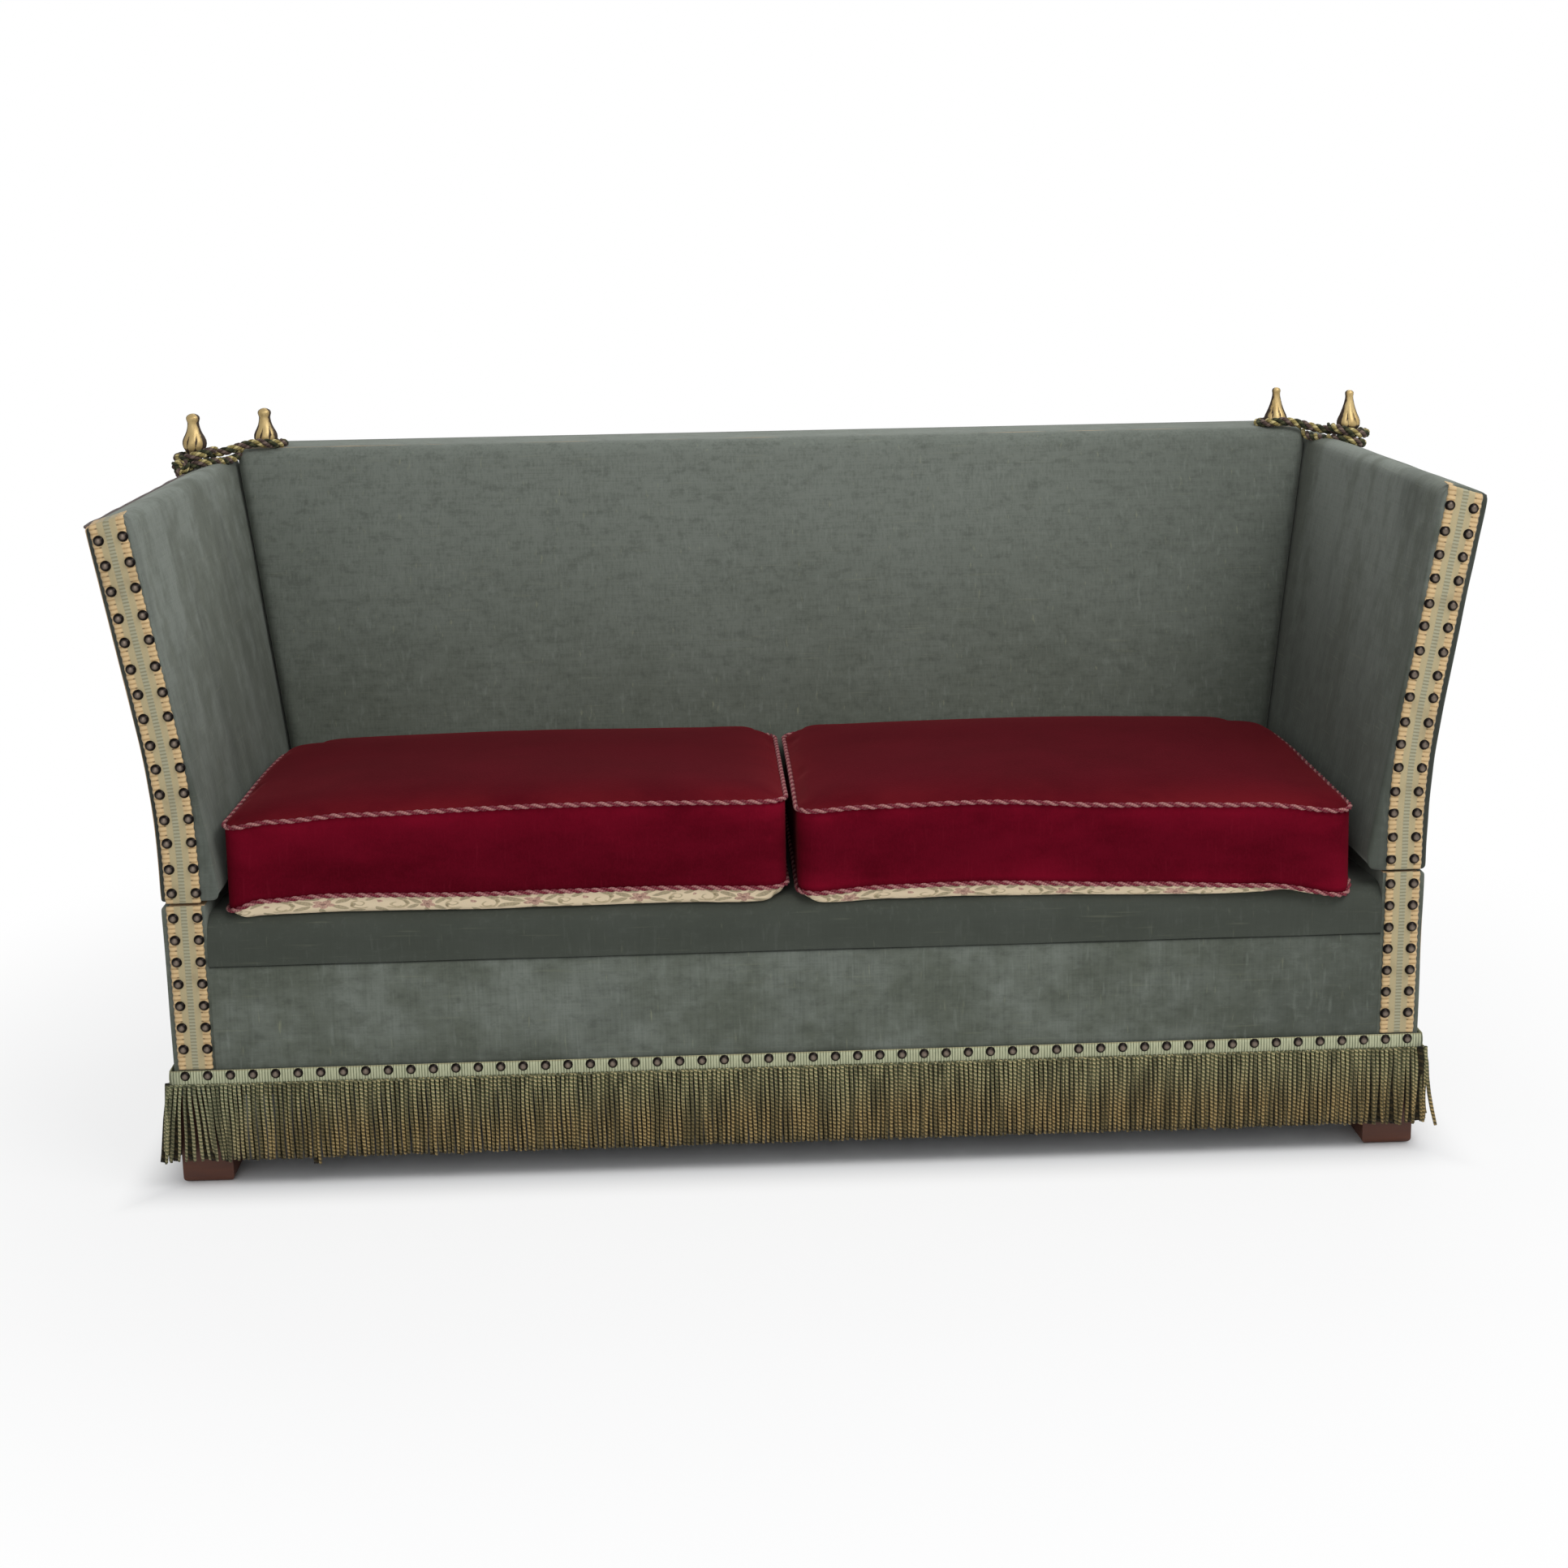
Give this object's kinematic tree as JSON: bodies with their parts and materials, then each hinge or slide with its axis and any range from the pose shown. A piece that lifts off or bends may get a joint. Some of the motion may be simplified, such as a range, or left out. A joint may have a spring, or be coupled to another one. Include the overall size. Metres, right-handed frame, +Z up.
{
  "type": "drop arm sofa",
  "caption": "Upholstered settee with high, outward-leaning arms on bottom hinges, held up by ropes round carved finials, with loose seat cushions over a fringed base.",
  "frame": {"origin": "middle of the footprint box, on the floor", "axes": "+Z up, +X along the seat's width towards the sitter's left, +Y from the seat's front to its back"},
  "size_m": [1.8448, 0.7522, 0.9933],
  "materials": {
    "frame_timber": "sawn beech",
    "foot_wood": "reddish-brown stained hardwood",
    "gilt_wood": "worn gilding over dark brown",
    "green_velvet": "grey-green velvet with a fine slub",
    "crimson_velvet": "crimson cotton velvet",
    "floral_cotton": "cream cotton with a soft scroll print",
    "piping_cord": "two-ply dusty rose and dark red cord",
    "gold_braid": "woven cream-gold and sage braid",
    "fringe_yarn": "olive and gold twisted bullion fringe",
    "rope_yarn": "three-ply olive, gold and mauve rope",
    "bronze_nail": "antique bronze dome",
    "hinge_steel": "plain steel",
    "spring_steel": "dark spring wire",
    "stuffing": "felt and hair stuffing in calico",
    "cushion_filling": "soft cushion filling in calico",
    "jute_webbing": "woven jute",
    "dust_cloth": "black lining cloth"
  },
  "bodies": {
    "base": {"front_rail": "frame_timber", "rear_rail": "frame_timber", "right_front_post": "frame_timber", "left_front_post": "frame_timber", "right_side_rail": "frame_timber", "left_side_rail": "frame_timber", "centre_rail": "frame_timber", "corner_blocks": "frame_timber", "back_top_rail": "frame_timber", "right_back_post": "frame_timber", "left_back_post": "frame_timber", "back_lower_rail": "frame_timber", "feet": "foot_wood", "dust_cover": "dust_cloth", "seat_springs": "spring_steel", "seat_platform_cover": "green_velvet", "front_edge_roll": "stuffing", "seat_pad": "stuffing", "front_border_cover": "green_velvet", "right_side_cover": "green_velvet", "left_side_cover": "green_velvet", "pillar_braids": "gold_braid", "base_nails": "bronze_nail", "bullion_fringe": "fringe_yarn", "back_webbing": "jute_webbing", "back_pad": "stuffing", "inside_back_cover": "green_velvet", "outside_back_cover": "green_velvet", "back_finials": "gilt_wood", "lower_hinge_leaves": "hinge_steel", "right_tie_rope": "rope_yarn", "left_tie_rope": "rope_yarn"},
    "left_arm": {"left_arm_front_post": "frame_timber", "left_arm_rear_post": "frame_timber", "left_arm_top_rail": "frame_timber", "left_arm_bottom_rail": "frame_timber", "left_arm_pad": "stuffing", "left_arm_cover": "green_velvet", "left_arm_braid": "gold_braid", "left_arm_nails": "bronze_nail", "left_arm_finial": "gilt_wood", "left_arm_hinge_leaves": "hinge_steel"},
    "left_cushion": {"left_cushion_core": "cushion_filling", "left_cushion_cover": "crimson_velvet", "left_cushion_underside": "floral_cotton", "left_cushion_piping": "piping_cord"},
    "right_arm": {"right_arm_front_post": "frame_timber", "right_arm_rear_post": "frame_timber", "right_arm_top_rail": "frame_timber", "right_arm_bottom_rail": "frame_timber", "right_arm_pad": "stuffing", "right_arm_cover": "green_velvet", "right_arm_braid": "gold_braid", "right_arm_nails": "bronze_nail", "right_arm_finial": "gilt_wood", "right_arm_hinge_leaves": "hinge_steel"},
    "right_cushion": {"right_cushion_core": "cushion_filling", "right_cushion_cover": "crimson_velvet", "right_cushion_underside": "floral_cotton", "right_cushion_piping": "piping_cord"}
  },
  "joints": [
    {"name": "left_arm_drop", "type": "hinge", "parent": "base", "child": "left_arm", "pos_m": [-0.838, -0.02578, 0.4], "axis": [0, -1, 0], "range_deg": [0, 90], "deforming": ["left_tie_rope"]},
    {"name": "right_arm_drop", "type": "hinge", "parent": "base", "child": "right_arm", "pos_m": [0.838, -0.02578, 0.4], "axis": [0, 1, 0], "range_deg": [0, 90], "deforming": ["right_tie_rope"]},
    {"name": "left_cushion_lift", "type": "slide", "parent": "base", "child": "left_cushion", "axis": [0, 0, 1], "range_m": [0, 0.35]},
    {"name": "right_cushion_lift", "type": "slide", "parent": "base", "child": "right_cushion", "axis": [0, 0, 1], "range_m": [0, 0.35]}
  ]
}
